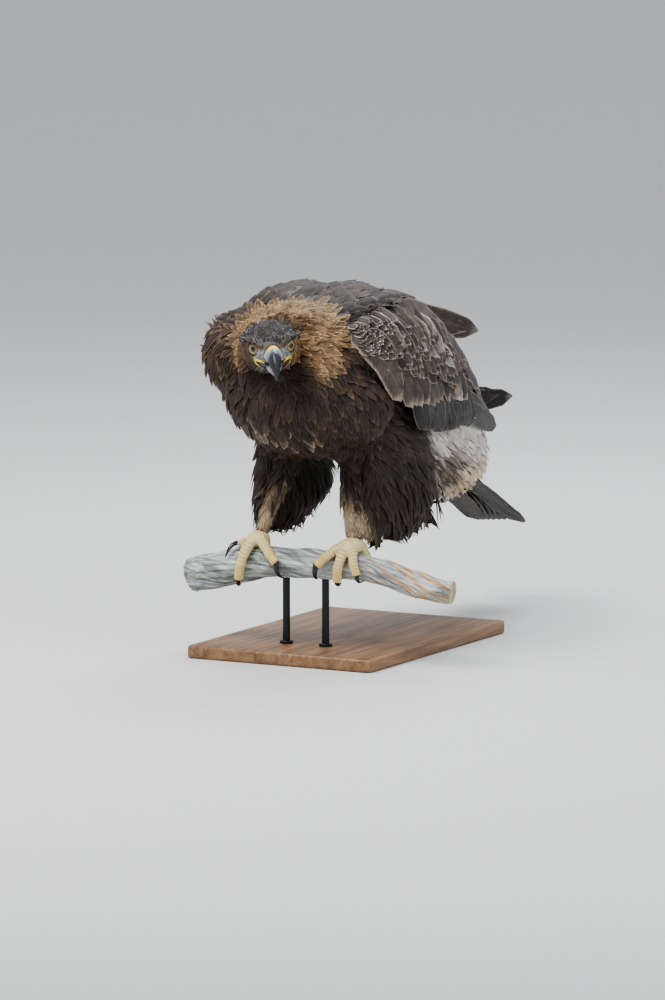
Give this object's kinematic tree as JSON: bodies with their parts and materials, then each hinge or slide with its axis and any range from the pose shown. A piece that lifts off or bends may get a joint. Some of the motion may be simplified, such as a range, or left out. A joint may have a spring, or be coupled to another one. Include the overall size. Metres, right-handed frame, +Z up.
{
  "type": "golden eagle display model",
  "caption": "Life-size golden eagle crouched forward on a cut length of bare branch, held over a flat base by a plain rod stand.",
  "frame": {"origin": "middle of the stand base's underside", "axes": "+Z up; the eagle's body faces -Y and its left side is towards +X; its head turns about 33 degrees towards its left"},
  "size_m": [0.4069, 0.7947, 0.505],
  "materials": {
    "body_feathers": "dark brown body feathers, modelled as feather pieces over a skin",
    "neck_feathers": "golden brown hackles",
    "head_feathers": "brown head feathers with a darker crown",
    "cere_skin": "waxy yellow skin",
    "bill_horn": "slate horn, paler at the root",
    "tongue_flesh": "damp pink flesh",
    "eye_glass": "hazel iris with a dark pupil under a clear gloss",
    "wing_feathers": "brown coverts and slate flight feathers with paler edges",
    "tail_feathers": "dark slate tail feathers",
    "trouser_feathers": "dark brown trousers",
    "shank_feathers": "short buff feathers down the shank",
    "toe_skin": "scaly yellow skin",
    "claw_horn": "black horn",
    "weathered_wood": "bare grey weathered wood",
    "stand_board": "oiled oak board",
    "stand_steel": "dark satin steel rod"
  },
  "bodies": {
    "root": {"torso": "body_feathers", "neck": "neck_feathers", "head": "head_feathers", "cere": "cere_skin", "bill_upper": "bill_horn", "bill_lower": "bill_horn", "tongue": "tongue_flesh", "eye_left": "eye_glass", "eye_right": "eye_glass", "wing_left": "wing_feathers", "wing_right": "wing_feathers", "tail": "tail_feathers", "thigh_left": "trouser_feathers", "shank_left": "shank_feathers", "foot_left": "toe_skin", "claw_inner_left": "claw_horn", "claw_middle_left": "claw_horn", "claw_outer_left": "claw_horn", "claw_hind_left": "claw_horn", "thigh_right": "trouser_feathers", "shank_right": "shank_feathers", "foot_right": "toe_skin", "claw_inner_right": "claw_horn", "claw_middle_right": "claw_horn", "claw_outer_right": "claw_horn", "claw_hind_right": "claw_horn", "perch_branch": "weathered_wood", "stand_base": "stand_board", "stand_rod_left": "stand_steel", "stand_rod_right": "stand_steel"}
  },
  "joints": []
}
